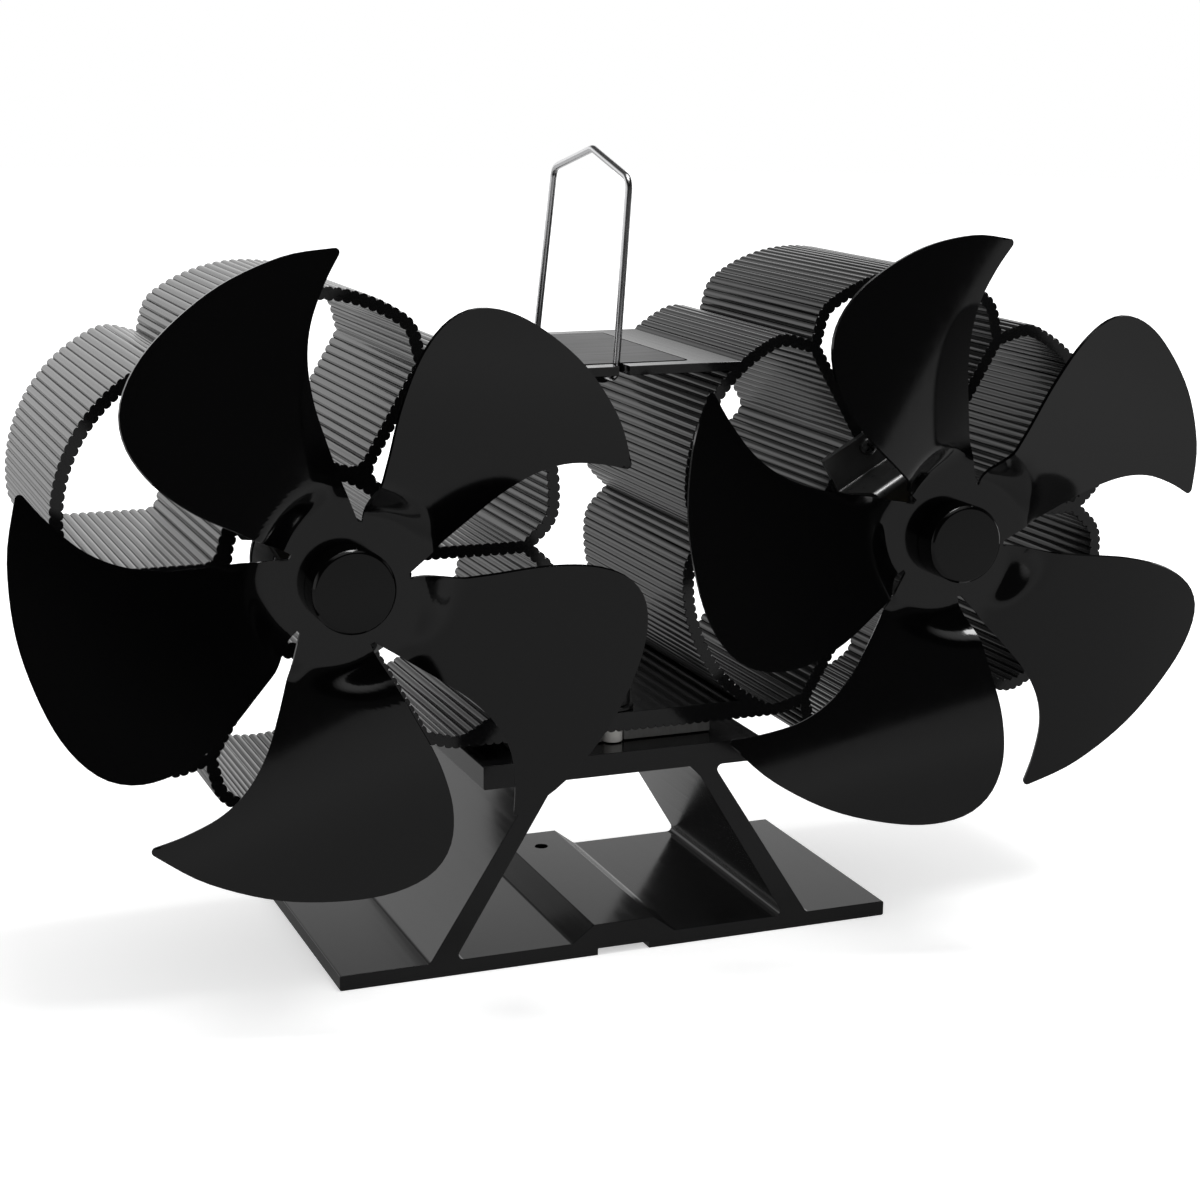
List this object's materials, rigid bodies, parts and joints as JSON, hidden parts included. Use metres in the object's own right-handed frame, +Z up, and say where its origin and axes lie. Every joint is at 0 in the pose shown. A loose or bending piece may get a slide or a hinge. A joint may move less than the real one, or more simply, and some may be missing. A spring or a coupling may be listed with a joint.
{
  "type": "stove fan",
  "caption": "Heat-powered stove fan: finned cooling extrusion with two fans in front, standing on a slanted-leg base, with a wire carrying handle on top.",
  "frame": {"origin": "on the floor, under the middle of the whole fan; X is centred between the two fans and Y on the depth from the blades' front to the cooling extrusion's back", "axes": "+X to the fan's own right as seen from the front, +Y from the front to the back, +Z up"},
  "size_m": [0.3468, 0.125, 0.2286],
  "materials": {
    "base_aluminium": "black anodised, satin",
    "black_anodised": "black anodised, satin",
    "bimetal": "plain rolled",
    "plain_steel": "plain",
    "thermal_pad": "matt graphite sheet",
    "ceramic": "matt ceramic",
    "insulation": "matt grey insulating board",
    "polished_steel": "polished",
    "black_steel": "blackened",
    "motor_steel": "drawn and plated",
    "black_plastic": "moulded",
    "bracket_steel": "satin black",
    "blade_black": "satin black",
    "cap_black": "satin black",
    "brass": "turned"
  },
  "bodies": {
    "stove_body": {"base_extrusion": "base_aluminium", "bimetal_rivet": "plain_steel", "bimetal_strip": "bimetal", "cold_side_pad": "thermal_pad", "cooling_extrusion": "black_anodised", "front_clamp_screw": "black_steel", "front_clamp_washer": "black_steel", "front_insulating_bush": "ceramic", "hot_side_pad": "thermal_pad", "insulation_gasket": "insulation", "left_lower_face_screw": "black_steel", "left_lower_port_screw": "black_steel", "left_motor_bracket": "bracket_steel", "left_motor_can": "motor_steel", "left_motor_end_cap": "black_plastic", "left_upper_face_screw": "black_steel", "left_upper_port_screw": "black_steel", "rear_clamp_screw": "black_steel", "rear_clamp_washer": "black_steel", "rear_insulating_bush": "ceramic", "right_lower_face_screw": "black_steel", "right_lower_port_screw": "black_steel", "right_motor_bracket": "bracket_steel", "right_motor_can": "motor_steel", "right_motor_end_cap": "black_plastic", "right_upper_face_screw": "black_steel", "right_upper_port_screw": "black_steel", "thermoelectric_module": "ceramic"},
    "handle": {"carry_handle": "polished_steel"},
    "left_fan": {"left_fan_blades": "blade_black", "left_hub_cap": "cap_black", "left_hub_collar": "brass", "left_motor_shaft": "polished_steel"},
    "right_fan": {"right_fan_blades": "blade_black", "right_hub_cap": "cap_black", "right_hub_collar": "brass", "right_motor_shaft": "polished_steel"}
  },
  "joints": [
    {"name": "left_fan_spin", "type": "hinge", "parent": "stove_body", "child": "left_fan", "pos_m": [-0.0886, 0, 0.12149], "axis": [0, 1, 0], "continuous": true},
    {"name": "right_fan_spin", "type": "hinge", "parent": "stove_body", "child": "right_fan", "pos_m": [0.0886, 0, 0.12149], "axis": [0, 1, 0], "continuous": true},
    {"name": "handle_rock", "type": "hinge", "parent": "stove_body", "child": "handle", "pos_m": [0, 0.02338, 0.1662], "axis": [0, 1, 0], "range_deg": [-10.5, 0.5]}
  ]
}
